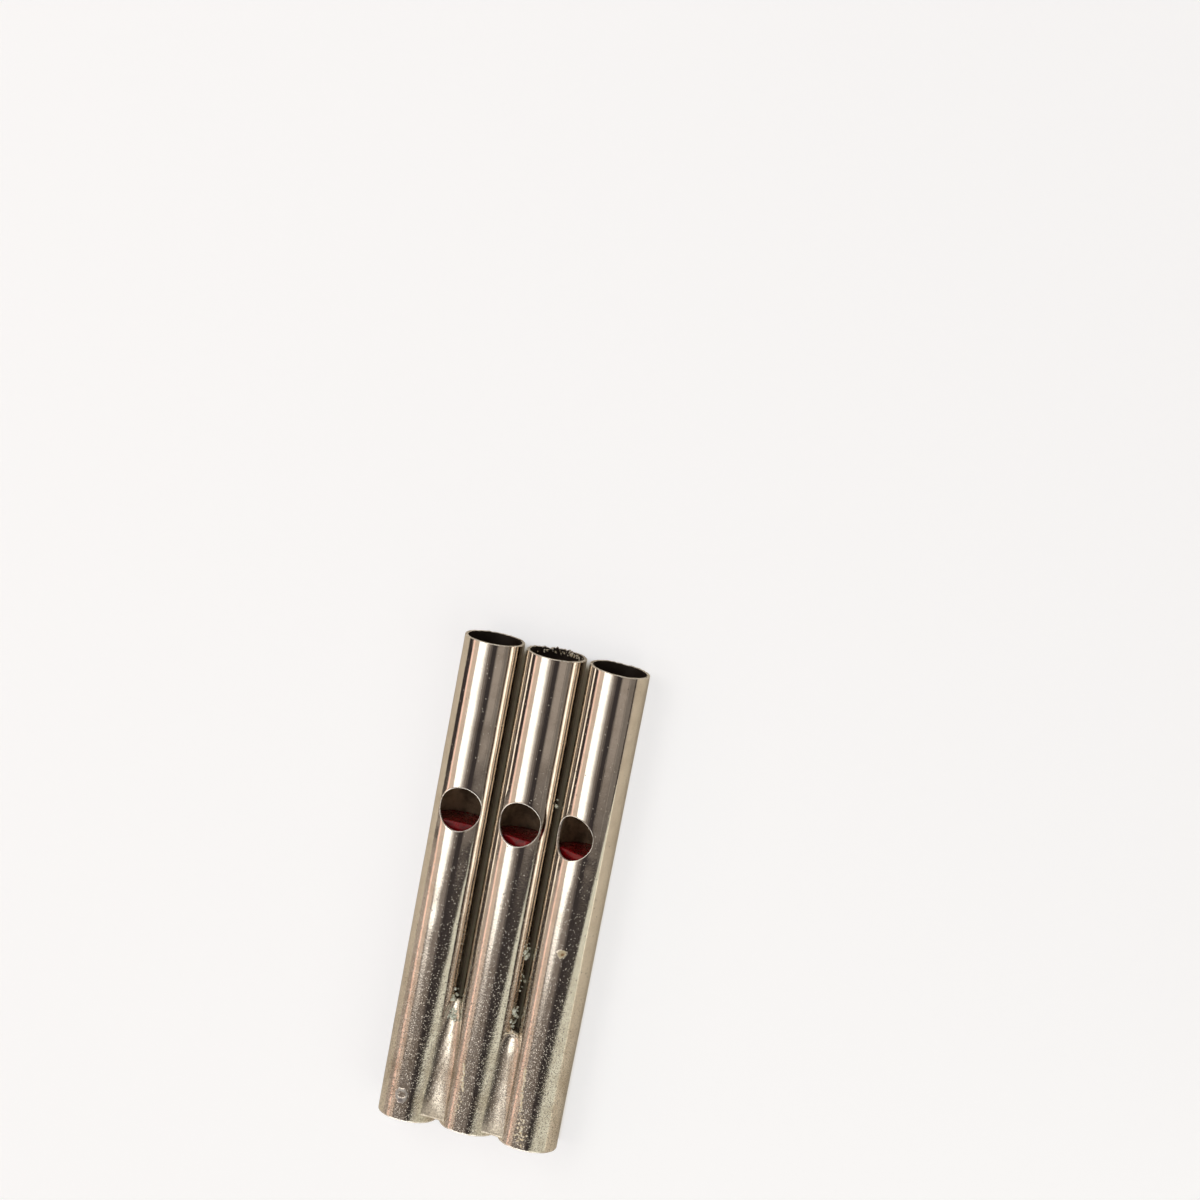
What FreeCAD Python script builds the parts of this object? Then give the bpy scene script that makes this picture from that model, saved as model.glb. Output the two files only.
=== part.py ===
import FreeCAD, Part
import math
import os
import Sketcher

# A small metal bird whistle: three thin tubes in one row, soldered together near the mouth end.
# It lies on its back: X runs across the row, Y along the tubes towards their open ends, Z up to the
# windows. The origin is under the middle of the row, on the surface that it lies on. Millimetres, degrees.

Vector = FreeCAD.Vector
Rotation = FreeCAD.Rotation
Constraint = Sketcher.Constraint

document = FreeCAD.newDocument("BirdWhistle")

SIZES = {
    # The tubes
    "tube_diameter": 6.0,
    "tube_wall": 0.3,
    "tube_length": 49.4,
    "edge_round": 0.06,
    # The row: the gaps between neighbouring tubes at the mouth end, and the right tube's lean outwards
    "left_gap": 0.48,
    "right_gap": 0.3,
    "right_splay_angle": 0.29,
    # The left tube hangs over the mouth plane, and the right tube's open end is cut out of square
    "left_overhang": 0.4,
    "right_overlength": 0.1,
    "right_rim_angle": 1.9,
    # The windows: drilled holes, drawn a little along the tube, each turned its own way round it
    "window_width": 4.1,
    "window_stretch": 0.3,
    "window_station": 32.35,
    "left_window_angle": 7.6,
    "middle_window_angle": 1.7,
    "right_window_angle": -17.4,
    # The windway blocks, pushed into the tubes from the mouth end
    "block_length": 30.55,
    "block_recess": 0.3,
    "block_clearance": 0.0,
    "block_edge": 0.2,
    "windway_depth": 0.6,
    "left_block_angle": 7.0,
    "middle_block_angle": -15.0,
    "right_block_angle": -23.0,
    # The solder: where it leaves each tube, as an angle from the top of the tube into the groove.
    # It starts at the base angle, grows slowly by the slope angle, then quickly by the tip angle.
    "solder_recess": 0.35,
    "left_solder_length": 12.4,
    "left_solder_base_angle": 40.0,
    "left_solder_slope_angle": 4.0,
    "left_solder_tip_angle": 26.0,
    "left_solder_tip_power": 8.0,
    "right_solder_length": 10.75,
    "right_solder_base_angle": 40.0,
    "right_solder_slope_angle": 2.0,
    "right_solder_tip_angle": 24.0,
    "right_solder_tip_power": 20.0,
    "solder_back_angle": 14.0,
    "solder_wetting_angle": 5.0,
    "solder_root": 0.01,
}

SOLDER_SECTIONS = 14

sheet = document.addObject("Spreadsheet::Sheet", "Sizes")
for row, (alias, value) in enumerate(SIZES.items(), start=1):
    sheet.set(f"A{row}", alias)
    sheet.set(f"B{row}", str(value))
    sheet.setAlias(f"B{row}", alias)
document.recompute()

OUTER_RADIUS = "Sizes.tube_diameter / 2"
LEFT_PITCH = "(Sizes.tube_diameter + Sizes.left_gap)"
RIGHT_PITCH = "(Sizes.tube_diameter + Sizes.right_gap)"
SPLAY = "Sizes.right_splay_angle"
BORE_RADIUS = "(Sizes.tube_diameter / 2 - Sizes.tube_wall)"
BLOCK_RADIUS = "(Sizes.tube_diameter / 2 - Sizes.tube_wall - Sizes.block_clearance)"
FLAT_HEIGHT = "(Sizes.tube_diameter / 2 - Sizes.tube_wall - Sizes.windway_depth)"
RIGHT_LENGTH = "(Sizes.tube_length + Sizes.right_overlength)"

# Where the row stands: centred on the origin, with the backs of the tubes on the surface
LEFT_REACH = f"({LEFT_PITCH} + {OUTER_RADIUS})"
RIGHT_REACH = (
    f"({RIGHT_PITCH} + {RIGHT_LENGTH} * sin({SPLAY})"
    f" + {OUTER_RADIUS} * cos({SPLAY}))"
)
MIDDLE_X = f"({LEFT_REACH} - {RIGHT_REACH}) / 2"
FAR_END = f"({RIGHT_LENGTH} * cos({SPLAY}) + {OUTER_RADIUS} * sin({SPLAY}))"
MOUTH_Y = f"(Sizes.left_overhang - {FAR_END}) / 2"


def number(expression):
    """The present value of an expression over the sheet."""
    return float(sheet.evalExpression(expression.replace("Sizes.", "")))


def place(body, x, splay=None):
    """Puts a body's own Y axis along the row, at x from the middle of the row, leaning out by splay."""
    if splay:
        body.Placement = FreeCAD.Placement(Vector(), Rotation(Vector(0, 0, 1), -1))
        body.setExpression("Placement.Rotation.Angle", f"-({splay})")
    body.setExpression("Placement.Base.x", x)
    body.setExpression("Placement.Base.y", MOUTH_Y)
    body.setExpression("Placement.Base.z", OUTER_RADIUS)


def new_body(label, x, splay=None):
    body = document.addObject("PartDesign::Body", label)
    body.Label = label
    place(body, x, splay)
    return body


def new_sketch(body, name, role):
    """A sketch on one of the body's own origin planes: XZ_Plane cuts across the tube, XY_Plane along it."""
    sketch = body.newObject("Sketcher::SketchObject", name)
    plane = next(feature for feature in body.Origin.OriginFeatures if feature.Role == role)
    sketch.AttachmentSupport = (plane, [""])
    sketch.MapMode = "FlatFace"
    return sketch


def turn_sketch(sketch, axis, angle):
    sketch.AttachmentOffset = FreeCAD.Placement(Vector(), Rotation(axis, 1))
    sketch.setExpression("AttachmentOffset.Rotation.Angle", angle)


def along_tube(sketch, distance):
    """Moves a cross-section along the tube. The plane's own normal points back to the mouth."""
    sketch.setExpression("AttachmentOffset.Base.z", f"-({distance})")


def dimension(sketch, name, expression, kind, *where):
    index = sketch.addConstraint(Constraint(kind, *where, number(expression)))
    sketch.renameConstraint(index, name)
    sketch.setExpression(f"Constraints.{name}", expression)


def add_circle(sketch, name, radius):
    circle = sketch.addGeometry(Part.Circle(Vector(), Vector(0, 0, 1), number(radius)))
    sketch.addConstraint(Constraint("Coincident", circle, 3, -1, 1))
    dimension(sketch, name, radius, "Radius", circle)


def add_pad(body, sketch, name, length):
    pad = body.newObject("PartDesign::Pad", name)
    pad.Profile = sketch
    pad.Reversed = True
    pad.setExpression("Length", length)
    return pad


def outer_rims(body):
    """The curved edges that lie on the tube's outside: both ends and the window's saddle."""
    radius = number(OUTER_RADIUS)
    names = []
    for index, edge in enumerate(body.Tip.Shape.Edges, start=1):
        on_outside = all(abs(Vector(p.x, 0, p.z).Length - radius) < 0.001 for p in edge.discretize(9))
        if on_outside and not isinstance(edge.Curve, Part.Line):
            names.append(f"Edge{index}")
    return names


def add_fillet(body, name, edges, radius):
    base = body.Tip
    fillet = body.newObject("PartDesign::Fillet", name)
    fillet.Base = (base, edges)
    fillet.setExpression("Radius", radius)
    return fillet


def cut_window(body, turn):
    """A slot with round ends, cut up through the front wall from the tube's axis."""
    sketch = new_sketch(body, body.Label + "_window_outline", "XY_Plane")
    turn_sketch(sketch, Vector(0, 1, 0), turn)
    radius = number("Sizes.window_width / 2")
    near_centre = "Sizes.window_station - Sizes.window_stretch / 2"
    low = number(near_centre)
    high = low + number("Sizes.window_stretch")
    far_circle = Part.Circle(Vector(0, high, 0), Vector(0, 0, 1), radius)
    near_circle = Part.Circle(Vector(0, low, 0), Vector(0, 0, 1), radius)
    far = sketch.addGeometry(Part.ArcOfCircle(far_circle, 0, math.pi))
    near = sketch.addGeometry(Part.ArcOfCircle(near_circle, math.pi, 2 * math.pi))
    right = sketch.addGeometry(Part.LineSegment(Vector(radius, low, 0), Vector(radius, high, 0)))
    left = sketch.addGeometry(Part.LineSegment(Vector(-radius, high, 0), Vector(-radius, low, 0)))
    sketch.addConstraint(Constraint("Tangent", right, 2, far, 1))
    sketch.addConstraint(Constraint("Tangent", far, 2, left, 1))
    sketch.addConstraint(Constraint("Tangent", left, 2, near, 1))
    sketch.addConstraint(Constraint("Tangent", near, 2, right, 1))
    sketch.addConstraint(Constraint("PointOnObject", far, 3, -2))
    sketch.addConstraint(Constraint("PointOnObject", near, 3, -2))
    sketch.addConstraint(Constraint("Equal", near, far))
    dimension(sketch, "end_radius", "Sizes.window_width / 2", "Radius", far)
    dimension(sketch, "stretch", "Sizes.window_stretch", "DistanceY", near, 3, far, 3)
    dimension(sketch, "station", near_centre, "DistanceY", -1, 1, near, 3)
    pocket = body.newObject("PartDesign::Pocket", body.Label + "_window")
    pocket.Profile = sketch
    pocket.Reversed = True
    pocket.setExpression("Length", "Sizes.tube_diameter")


def trim_rim(body):
    """Cuts the open end out of square: full length on the left side, shorter on the right."""
    sketch = new_sketch(body, body.Label + "_rim_trim", "XY_Plane")
    slope = "tan(Sizes.right_rim_angle)"
    side = "Sizes.tube_diameter"
    corners = [
        (f"-{side}", f"{RIGHT_LENGTH} + {OUTER_RADIUS} * {slope}"),
        (side, f"{RIGHT_LENGTH} - 3 * {OUTER_RADIUS} * {slope}"),
        (side, f"{RIGHT_LENGTH} + {side}"),
        (f"-{side}", f"{RIGHT_LENGTH} + {side}"),
    ]
    points = [Vector(number(x), number(y), 0) for x, y in corners]
    for start, end in zip(points, points[1:] + points[:1]):
        sketch.addGeometry(Part.LineSegment(start, end))
    for index, (x, y) in enumerate(corners):
        sketch.addConstraint(Constraint("Coincident", index, 1, (index - 1) % len(corners), 2))
        if points[index].x < 0:
            dimension(sketch, f"corner_{index}_across", f"-({x})", "DistanceX", index, 1, -1, 1)
        else:
            dimension(sketch, f"corner_{index}_across", x, "DistanceX", -1, 1, index, 1)
        dimension(sketch, f"corner_{index}_along", y, "DistanceY", -1, 1, index, 1)
    pocket = body.newObject("PartDesign::Pocket", body.Label + "_slanted_rim")
    pocket.Profile = sketch
    pocket.Midplane = True
    pocket.setExpression("Length", "2 * Sizes.tube_diameter")


def make_tube(label, x, turn, splay=None, length="Sizes.tube_length", overhang=None, slanted=False):
    """A thin drawn tube, open at both ends, with its window and the small round of its plated edges."""
    body = new_body(label, x, splay)
    ring = new_sketch(body, label + "_ring", "XZ_Plane")
    if overhang:
        along_tube(ring, f"-{overhang}")
        length = f"{length} + {overhang}"
    add_circle(ring, "outer_radius", OUTER_RADIUS)
    add_circle(ring, "bore_radius", BORE_RADIUS)
    add_pad(body, ring, label + "_wall", length)
    cut_window(body, turn)
    if slanted:
        trim_rim(body)
    document.recompute()
    add_fillet(body, label + "_edges", outer_rims(body), "Sizes.edge_round")
    return body


def make_block(label, x, turn, splay=None):
    """A round plug with one flat: the flat and the bore leave the windway between them, and the flat's far
    edge, where the breath leaves it under the window, is a little rounded."""
    body = new_body(label, x, splay)
    sketch = new_sketch(body, label + "_section", "XZ_Plane")
    turn_sketch(sketch, Vector(0, 0, 1), f"-({turn})")
    along_tube(sketch, "Sizes.block_recess")
    radius = number(BLOCK_RADIUS)
    height = number(FLAT_HEIGHT)
    half = math.sqrt(radius**2 - height**2)
    left, right = Vector(-half, height, 0), Vector(half, height, 0)
    arc = sketch.addGeometry(Part.Arc(left, Vector(0, -radius, 0), right))
    flat = sketch.addGeometry(Part.LineSegment(right, left))
    sketch.addConstraint(Constraint("Coincident", arc, 3, -1, 1))
    sketch.addConstraint(Constraint("Coincident", arc, 2, flat, 1))
    sketch.addConstraint(Constraint("Coincident", flat, 2, arc, 1))
    sketch.addConstraint(Constraint("Horizontal", flat))
    dimension(sketch, "radius", BLOCK_RADIUS, "Radius", arc)
    dimension(sketch, "flat_height", FLAT_HEIGHT, "DistanceY", -1, 1, flat, 1)
    add_pad(body, sketch, label + "_plug", "Sizes.block_length")
    document.recompute()
    end = number("Sizes.block_recess + Sizes.block_length")
    names = []
    for index, edge in enumerate(body.Tip.Shape.Edges, start=1):
        at_end = all(abs(point.y - end) < 0.001 for point in edge.discretize(5))
        if at_end and isinstance(edge.Curve, Part.Line):
            names.append(f"Edge{index}")
    add_fillet(body, label + "_lip", names, "Sizes.block_edge")
    return body


def solder_section(body, name, station, shift, half_gap, angle):
    """One cross-section of the solder: a hollow arc in the front groove, a smaller one in the back groove,
    and straight sides that run inside the two tubes."""
    sketch = new_sketch(body, name, "XZ_Plane")
    along_tube(sketch, station)
    sketch.setExpression("AttachmentOffset.Base.x", shift)
    root = f"({OUTER_RADIUS} - Sizes.solder_root)"
    arcs = []
    for side, lean in ((1, angle), (-1, f"({angle} + Sizes.solder_back_angle)")):
        across = f"({half_gap} - {root} * sin({lean}))"
        height = f"{root} * cos({lean})"
        radius = f"{across} / sin({lean} - Sizes.solder_wetting_angle)"
        x, z, r = number(across), number(height), number(radius)
        low = z - r + math.sqrt(r**2 - x**2)
        ends = Vector(-x, side * z, 0), Vector(x, side * z, 0)
        arc = sketch.addGeometry(Part.Arc(ends[0], Vector(0, side * low, 0), ends[1]))
        label = "front" if side > 0 else "back"
        sketch.addConstraint(Constraint("Symmetric", arc, 1, arc, 2, -2))
        dimension(sketch, label + "_radius", radius, "Radius", arc)
        if side > 0:
            dimension(sketch, label + "_across", across, "DistanceX", arc, 1, -1, 1)
            dimension(sketch, label + "_height", height, "DistanceY", -1, 1, arc, 1)
        else:
            dimension(sketch, label + "_across", across, "DistanceX", -1, 1, arc, 1)
            dimension(sketch, label + "_height", height, "DistanceY", arc, 1, -1, 1)
        arcs.append((arc, *ends))
    (front, front_left, front_right), (back, back_left, back_right) = arcs
    left = sketch.addGeometry(Part.LineSegment(back_left, front_left))
    right = sketch.addGeometry(Part.LineSegment(front_right, back_right))
    sketch.addConstraint(Constraint("Coincident", left, 2, front, 1))
    sketch.addConstraint(Constraint("Coincident", front, 2, right, 1))
    sketch.addConstraint(Constraint("Coincident", right, 2, back, 1))
    sketch.addConstraint(Constraint("Coincident", back, 2, left, 1))
    return sketch


def make_solder(label, side, x, pitch, splay="0"):
    """A run of solder between two tubes: lofted along the groove, with both tubes cut out of it.
    Where the right tube leans away, the run follows the middle of the widening groove."""
    body = new_body(label, x)
    sections = []
    for index in range(SOLDER_SECTIONS):
        share = 1 - (1 - index / (SOLDER_SECTIONS - 1)) ** 2
        station = f"Sizes.solder_recess + {share:.4f} * Sizes.{side}_solder_length"
        shift = f"({station}) * tan({splay}) / 2"
        half_gap = f"({pitch} / 2 + {shift})"
        angle = (
            f"(Sizes.{side}_solder_base_angle + {share:.4f} * Sizes.{side}_solder_slope_angle"
            f" + Sizes.{side}_solder_tip_angle * pow({share:.4f}; Sizes.{side}_solder_tip_power))"
        )
        sections.append(solder_section(body, f"{label}_section_{index}", station, shift, half_gap, angle))
    document.recompute()
    loft = body.newObject("PartDesign::AdditiveLoft", label + "_run")
    loft.Profile = sections[0]
    loft.Sections = sections[1:]
    loft.Ruled = True
    for name, offset, turn in (("left", f"-{pitch} / 2", "0"), ("right", f"{pitch} / 2", f"-({splay})")):
        sketch = new_sketch(body, f"{label}_{name}_groove_outline", "XZ_Plane")
        turn_sketch(sketch, Vector(0, 1, 0), turn)
        sketch.setExpression("AttachmentOffset.Base.x", offset)
        add_circle(sketch, "outer_radius", OUTER_RADIUS)
        groove = body.newObject("PartDesign::Pocket", f"{label}_{name}_groove")
        groove.Profile = sketch
        groove.Midplane = True
        groove.setExpression("Length", "2 * Sizes.tube_length")
    return body


LEFT_X = f"{MIDDLE_X} - {LEFT_PITCH}"
RIGHT_X = f"{MIDDLE_X} + {RIGHT_PITCH}"
LEFT_GROOVE_X = f"{MIDDLE_X} - {LEFT_PITCH} / 2"
RIGHT_GROOVE_X = f"{MIDDLE_X} + {RIGHT_PITCH} / 2"

parts = [
    make_tube("tube_left", LEFT_X, "Sizes.left_window_angle", overhang="Sizes.left_overhang"),
    make_tube("tube_middle", MIDDLE_X, "Sizes.middle_window_angle"),
    make_tube("tube_right", RIGHT_X, "Sizes.right_window_angle", SPLAY, RIGHT_LENGTH, slanted=True),
    make_block("block_left", LEFT_X, "Sizes.left_block_angle"),
    make_block("block_middle", MIDDLE_X, "Sizes.middle_block_angle"),
    make_block("block_right", RIGHT_X, "Sizes.right_block_angle", SPLAY),
    make_solder("solder_left", "left", LEFT_GROOVE_X, LEFT_PITCH),
    make_solder("solder_right", "right", RIGHT_GROOVE_X, RIGHT_PITCH, SPLAY),
]

document.recompute()
for item in document.Objects:
    if "Invalid" in item.State or "Error" in item.State:
        raise RuntimeError(f"{item.Name} failed: {item.State}")
for part in parts:
    if part.Shape.isNull() or not part.Shape.isValid():
        raise RuntimeError(f"{part.Label} has no valid shape")

os.makedirs("parts", exist_ok=True)
for part in parts:
    part.Shape.exportStep(f"parts/{part.Label}.step")
    box = part.Shape.optimalBoundingBox(False)
    print(
        f"{part.Label}: {len(part.Shape.Solids)} solid, x {box.XMin:.3f} to {box.XMax:.3f},"
        f" y {box.YMin:.3f} to {box.YMax:.3f}, z {box.ZMin:.3f} to {box.ZMax:.3f}"
    )
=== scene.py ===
import math

import bmesh
import bpy
import numpy as np
from bpy.props import FloatProperty, FloatVectorProperty, IntProperty, PointerProperty
from mathutils import Matrix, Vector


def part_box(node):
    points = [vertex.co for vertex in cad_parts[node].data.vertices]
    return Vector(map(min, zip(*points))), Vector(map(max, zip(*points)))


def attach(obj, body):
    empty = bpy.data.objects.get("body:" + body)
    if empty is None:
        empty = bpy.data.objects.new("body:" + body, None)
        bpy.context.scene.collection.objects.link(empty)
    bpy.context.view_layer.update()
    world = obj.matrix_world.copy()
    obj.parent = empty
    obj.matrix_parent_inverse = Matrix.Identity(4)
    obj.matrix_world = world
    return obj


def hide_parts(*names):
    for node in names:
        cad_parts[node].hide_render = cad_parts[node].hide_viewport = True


bl_info = {
    "name": "Bird whistle",
    "version": (1, 0, 0),
    "blender": (4, 5, 0),
    "location": "3D View > Sidebar > Whistle",
    "description": "Builds the plated tubes, solder, windway blocks and studio of a small bird whistle",
    "category": "Add Mesh",
}

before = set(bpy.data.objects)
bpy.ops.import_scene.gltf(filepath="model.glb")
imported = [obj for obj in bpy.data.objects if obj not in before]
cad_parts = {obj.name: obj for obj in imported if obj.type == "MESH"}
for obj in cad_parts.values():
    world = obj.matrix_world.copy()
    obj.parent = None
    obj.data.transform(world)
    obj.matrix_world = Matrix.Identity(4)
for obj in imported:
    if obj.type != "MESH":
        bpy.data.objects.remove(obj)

# Places from the CAD model in millimetres: the tubes' axes and the mouth end. The right tube turns out
# towards its open end, so at the mouth end its axis is one radius from the left side of its box.
MM = 0.001
LOW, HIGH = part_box("tube_middle")
MIDDLE_X = (LOW.x + HIGH.x) / 2 / MM
MOUTH = LOW.y / MM
LEFT_X = sum(corner.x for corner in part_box("tube_left")) / 2 / MM
RIGHT_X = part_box("tube_right")[0].x / MM + (HIGH.x - LOW.x) / 2 / MM


def length(name, text, value):
    """A length of the whistle, kept in metres as Blender shows it, given here in millimetres."""
    return FloatProperty(name=name, description=text, default=value * MM, unit="LENGTH", precision=5)


def colour(name, text, value):
    """The colour of one finish."""
    return FloatVectorProperty(name=name, description=text, default=value, subtype="COLOR",
                               size=3, min=0, max=1)


class WhistleSizes(bpy.types.PropertyGroup):
    radius: length("Tube radius", "Outside radius of every tube", 3.0)
    wall: length("Wall", "Thickness of the tube wall", 0.3)
    tube: length("Tube length", "From the mouth end to the open end", 49.4)
    edge: length("Edge round", "Rounding of the open rims, from which the other rims follow", 0.06)
    window_width: length("Window width", "Across the tube", 4.1)
    window_stretch: length("Window stretch", "How much longer than wide the window is", 0.3)
    window_station: length("Window station", "From the mouth end to the window's middle", 32.35)
    block_end: length("Block end", "From the mouth end to the block's far end", 30.85)
    windway: length("Windway", "Height between the block's flat and the bore", 0.6)
    lip: length("Block lip", "Rounding of the block's far edge", 0.2)
    around: IntProperty(name="Facets around", description="Facets around each tube",
                        default=160, min=80, max=240)


class WhistleFinish(bpy.types.PropertyGroup):
    nickel: colour("Nickel", "Colour of the bright plating", (0.82, 0.755, 0.675))
    brown: colour("Tarnish", "Colour of the dull film on the plating", (0.36, 0.27, 0.18))
    bore: colour("Bore", "Colour of the unpolished inside of the tubes", (0.34, 0.24, 0.155))
    solder: colour("Solder", "Colour of the plated solder", (0.80, 0.735, 0.64))
    red: colour("Block red", "Colour of the windway blocks", (0.26, 0.002, 0.006))
    residue: colour("Residue", "Colour of the flux residue", (0.66, 0.72, 0.58))
    floor: colour("Floor", "Colour of the studio floor", (0.74, 0.69, 0.585))


# Each tube: its axis, the turns of its window and its block in degrees, where its mouth end starts and how
# much longer it is in mm, its splay and the slant of its open end in degrees, how deep its open rim is torn
# in mm, and the seed of its waves.
TUBES = {
    "left": {"x": LEFT_X, "window": 7.6, "block": 7.0, "start": -0.4, "longer": 0.0,
             "splay": 0.0, "slant": 0.0, "torn": 0.02, "seed": 3},
    "middle": {"x": MIDDLE_X, "window": 1.7, "block": -15.0, "start": 0.0, "longer": 0.0,
               "splay": 0.0, "slant": 0.0, "torn": 0.10, "seed": 11},
    "right": {"x": RIGHT_X, "window": -17.4, "block": -23.0, "start": 0.0, "longer": 0.1,
              "splay": 0.29, "slant": 1.9, "torn": 0.03, "seed": 23},
}

# Angles of the points on a quarter-round edge, without the point that the row before or after it holds.
QUARTER = np.linspace(0, math.pi / 2, 5)
OPENING, CLOSING = QUARTER[1:], QUARTER[:-1]


def sizes():
    """The sizes in millimetres, by name."""
    group = bpy.context.scene.whistle_sizes
    names = [n for n in group.bl_rna.properties.keys() if n not in ("rna_type", "name", "around")]
    return {**{n: getattr(group, n) / MM for n in names}, "around": group.around}


def tube_radius():
    """Outside radius of the tubes in millimetres, which is also the height of their axes."""
    return bpy.context.scene.whistle_sizes.radius / MM


def smooth(x, low, high):
    """Rises smoothly from 0 at low to 1 at high."""
    share = np.clip((np.asarray(x, float) - low) / (high - low), 0, 1)
    return share * share * (3 - 2 * share)


def ripple(a, b, seed, waves=6):
    """A sum of sine waves in two directions with seeded phases, about -1 to 1."""
    draw = np.random.default_rng(seed)
    ka, kb, phase = draw.normal(0, 1, waves), draw.normal(0, 1, waves), draw.uniform(0, 2 * math.pi, waves)
    a, b = np.broadcast_arrays(a, b)
    return np.sin(ka * a[..., None] + kb * b[..., None] + phase).sum(-1) / math.sqrt(waves)


def lean(name, x, y, z):
    """Puts points of a tube's own frame (axis along Y from the mouth end, window side up) into the row: each
    tube turns out by its splay and moves to its place."""
    turn = -math.radians(TUBES[name]["splay"])
    x, y, z = np.broadcast_arrays(x, y, z)
    across = x * math.cos(turn) - y * math.sin(turn)
    along = x * math.sin(turn) + y * math.cos(turn)
    return np.stack([across + TUBES[name]["x"], along + MOUTH, z + tube_radius()], -1)


def quads(index, close_rows=False):
    """The four corners of each cell of a grid of vertex numbers whose rows are closed rings; close_rows also
    joins the last ring to the first."""
    rows = np.arange(index.shape[0] - (not close_rows))
    r, c = np.meshgrid(rows, np.arange(index.shape[1]), indexing="ij")
    r2, c2 = (r + 1) % index.shape[0], (c + 1) % index.shape[1]
    return np.stack([index[r, c], index[r, c2], index[r2, c2], index[r2, c]], -1)


def ring_skin(rings):
    """Faces of a closed skin whose rows are rings, with one flat face at each end."""
    index = np.arange(rings.shape[0] * rings.shape[1]).reshape(rings.shape[:2])
    return quads(index).reshape(-1, 4).tolist() + [index[0].tolist(), index[-1].tolist()]


def make_piece(name, points, faces, materials, slot, replaced=(), kinds=None):
    """A smooth mesh object in metres, closed and facing outwards, riding on the whistle's one body, with a
    material number for each face if kinds is given."""
    mesh = bpy.data.meshes.new(name)
    mesh.from_pydata((np.asarray(points).reshape(-1, 3) * MM).tolist(), [], faces)
    for material in materials:
        mesh.materials.append(material)
    if kinds is not None:
        mesh.polygons.foreach_set("material_index", np.asarray(kinds, np.int32))
    work = bmesh.new()
    work.from_mesh(mesh)
    bmesh.ops.remove_doubles(work, verts=work.verts, dist=1e-8)
    bmesh.ops.recalc_face_normals(work, faces=work.faces)
    work.to_mesh(mesh)
    work.free()
    mesh.polygons.foreach_set("use_smooth", np.ones(len(mesh.polygons), bool))
    mesh.update()
    piece = bpy.data.objects.new(name, mesh)
    bpy.context.scene.collection.objects.link(piece)
    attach(piece, "root")
    if replaced:
        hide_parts(*replaced)


# Tubes. Lengths in mm, angles in degrees.

OUTSIDE, INSIDE, CUT = 0, 1, 2  # kinds of face, in the order of the tube's materials
MOUTH_RIM, WINDOW_RIM = 3.0, 1.3  # rounding of these rims, in roundings of the open rim
INNER_EDGE = 0.04  # rounding of the edges on the bore's side
END_ZONE = 0.5  # finely divided length at each end
PATCH_ANGLE, PATCH_LENGTH = 61, 3.2  # half the area round a window that has cells of its own
RAY_ROWS, WALL_ROWS = 12, 5  # rows of points from that area's border to the window, and down its wall
SLOT_POINTS = 2881  # points of the window's outline, between which the cells' points lie
RIM_ROWS = len(OPENING) + 1 + len(CLOSING)  # rows of points on an open or a mouth rim
WAVE, HOLLOW, CRUMPLE = 0.007, 0.045, 0.011  # heights of the errors of the wall
SAWN = 0.008  # roughness of a sawn rim
TORN_AT, TORN_WIDTH = 200, 55  # where an open rim is torn and how widely
ROUGH_OPEN, ROUGH_MOUTH = 0.7, 0.5  # lengths over which the rims' roughness fades


def wall_wave(name, angle, y, s):
    """Radial error of the hand-made tube in mm: slow waves along and round the wall, and a faint hollow
    pressed in around the window by the drill, itself a little crumpled."""
    spec = TUBES[name]
    waves = WAVE * ripple(np.sin(angle) * 2.2, y * 0.45 + np.cos(angle), spec["seed"])
    off = np.degrees(angle) - spec["window"]
    hollow = np.exp(-((off / 40) ** 2) - ((y - s["window_station"] + 0.6) / 3.0) ** 2)
    crumple = CRUMPLE * hollow * ripple(angle * 5, y * 1.6, spec["seed"] + 9)
    return waves - HOLLOW * hollow + crumple


def rim_jag(name, angle, open_end):
    """Roughness of the sawn rims in mm, a sum of two ripples round the tube. An open rim (open_end 1, not 0)
    is also torn down around one line at its back, the middle tube's deepest."""
    spec = TUBES[name]
    rough = ripple(np.sin(angle) * 14, np.cos(angle) * 14, spec["seed"] + 1)
    rough = 0.6 * rough + ripple(np.sin(angle) * 33, np.cos(angle) * 33, spec["seed"] + 2)
    off = np.degrees(np.angle(np.exp(1j * (angle - math.radians(TORN_AT)))))
    torn = spec["torn"] * np.exp(-((off / TORN_WIDTH) ** 2)) * open_end
    return rough * (SAWN + torn) - 0.8 * torn


def wall_profile(rows, start, end, s):
    """The loop that is carried round a tube's axis: outside, open rim, bore and mouth rim, with quarter-round
    edges. Returns its radii and its places along the axis."""
    outer, bore, edge, small = s["radius"], s["radius"] - s["wall"], s["edge"], INNER_EDGE
    lip, mean = MOUTH_RIM * edge, [(outer + bore) / 2]
    radii = np.concatenate([
        np.full(len(rows), outer), outer - edge * (1 - np.cos(OPENING)), mean,
        bore + small * (1 - np.sin(CLOSING)), np.full(len(rows), bore),
        bore + small * (1 - np.cos(OPENING)), mean, outer - lip * (1 - np.sin(CLOSING))])
    along = np.concatenate([
        rows, end - edge + edge * np.sin(OPENING), [end],
        end - small + small * np.cos(CLOSING), rows[::-1],
        start + small - small * np.sin(OPENING), [start], start + lip - lip * np.cos(CLOSING)])
    return radii, along


def slot_outline(s):
    """The window seen from above: two half circles with short straight sides between them. Returns each
    point's direction from its middle on the unrolled tube, and x and y of the points and of their normals."""
    turn = np.linspace(-math.pi, math.pi, SLOT_POINTS)
    half, stretch = s["window_width"] / 2, s["window_stretch"] / 2
    slot_x, slot_y = half * np.cos(turn), half * np.sin(turn) + stretch * np.sign(np.sin(turn))
    polar = np.unwrap(np.arctan2(slot_y, s["radius"] * np.arcsin(slot_x / s["radius"])))
    return polar, (slot_x, slot_y, np.cos(turn), np.sin(turn))


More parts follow.
